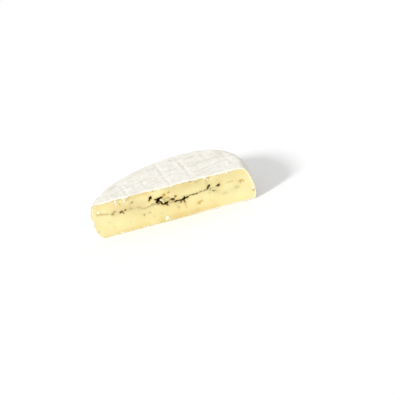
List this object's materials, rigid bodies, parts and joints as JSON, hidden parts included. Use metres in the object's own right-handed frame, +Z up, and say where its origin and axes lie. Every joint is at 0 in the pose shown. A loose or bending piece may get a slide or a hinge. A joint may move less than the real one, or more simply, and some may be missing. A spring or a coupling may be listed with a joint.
{
  "type": "half brie wheel",
  "caption": "Half wheel of bloomy-rind soft cheese, flat below with a swelling side, cut straight across to show pale paste with a blue-veined seam.",
  "frame": {"origin": "under the middle of the piece's bounding box, on the flat bottom that it rests on", "axes": "+X along the cut, +Y from the cut face towards the round back, +Z up through the wheel's height"},
  "size_m": [0.1784, 0.0856, 0.0403],
  "materials": {
    "rind": "bloomy rind: a dry, velvety off-white skin of white mould, with faint furrows from the ripening rack",
    "paste": "soft pale yellow paste with a moist satin cut, riper and deeper yellow under the rind, and blue-black mould in its openings"
  },
  "bodies": {
    "root": {"half_wheel": "rind"}
  },
  "joints": []
}
